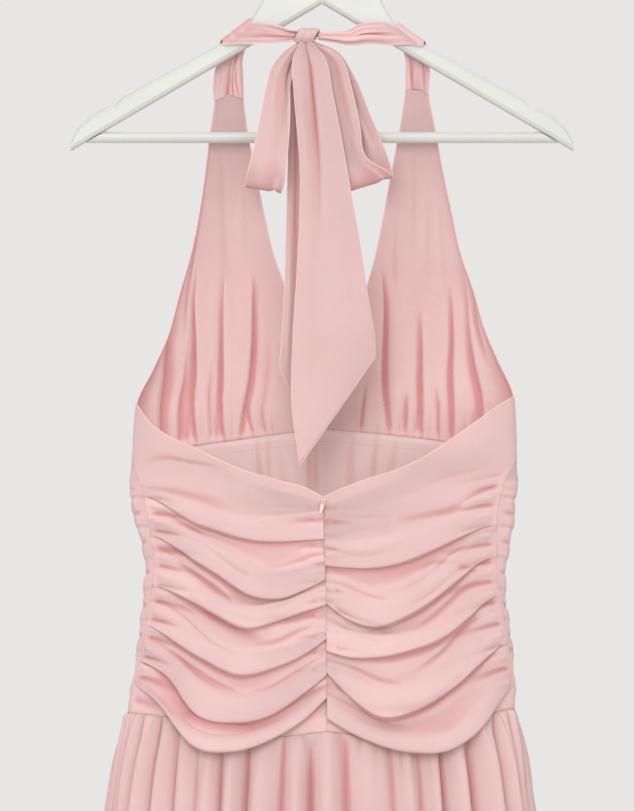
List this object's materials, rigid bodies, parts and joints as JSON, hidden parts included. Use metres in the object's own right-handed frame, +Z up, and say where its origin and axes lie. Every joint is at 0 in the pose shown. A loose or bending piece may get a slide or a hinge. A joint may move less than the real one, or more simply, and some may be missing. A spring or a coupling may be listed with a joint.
{
  "type": "halter dress on hanger",
  "caption": "Halter dress with ruched midriff, tied bow and long gathered skirt, hanging by the neck from a wooden hanger with a trouser bar.",
  "frame": {"origin": "inner crown of the hanger's hook, where a rail holds it", "axes": "+Z up, -Y out of the dress's open back, +X to the right as the back is seen"},
  "size_m": [0.5484, 0.183, 1.5337],
  "materials": {
    "dress_cloth": "matt, fine crinkled weave",
    "zip_tape": "matt ribbed tape",
    "zip_metal": "satin",
    "hanger_wood": "white satin paint",
    "hook_wire": "polished"
  },
  "bodies": {
    "dress_on_hanger": {"back_panel_left": "dress_cloth", "back_panel_right": "dress_cloth", "bodice_front": "dress_cloth", "bow_knot": "dress_cloth", "bow_loop_left": "dress_cloth", "bow_loop_right": "dress_cloth", "bow_tail_back": "dress_cloth", "bow_tail_front": "dress_cloth", "cup_left": "dress_cloth", "cup_right": "dress_cloth", "hanger_arm_left": "hanger_wood", "hanger_arm_right": "hanger_wood", "hanger_bar": "hanger_wood", "hanger_hook": "hook_wire", "skirt_back": "dress_cloth", "skirt_front": "dress_cloth", "strap_left": "dress_cloth", "strap_right": "dress_cloth", "zip_slider": "zip_metal", "zip_tape": "zip_tape"},
    "zip_pull": {"zip_pull": "zip_metal"}
  },
  "joints": [
    {"name": "zip_pull_swing", "type": "hinge", "parent": "dress_on_hanger", "child": "zip_pull", "pos_m": [0.0011, -0.0311, -0.5595], "axis": [-1, 0, 0], "range_deg": [0, 150]}
  ]
}
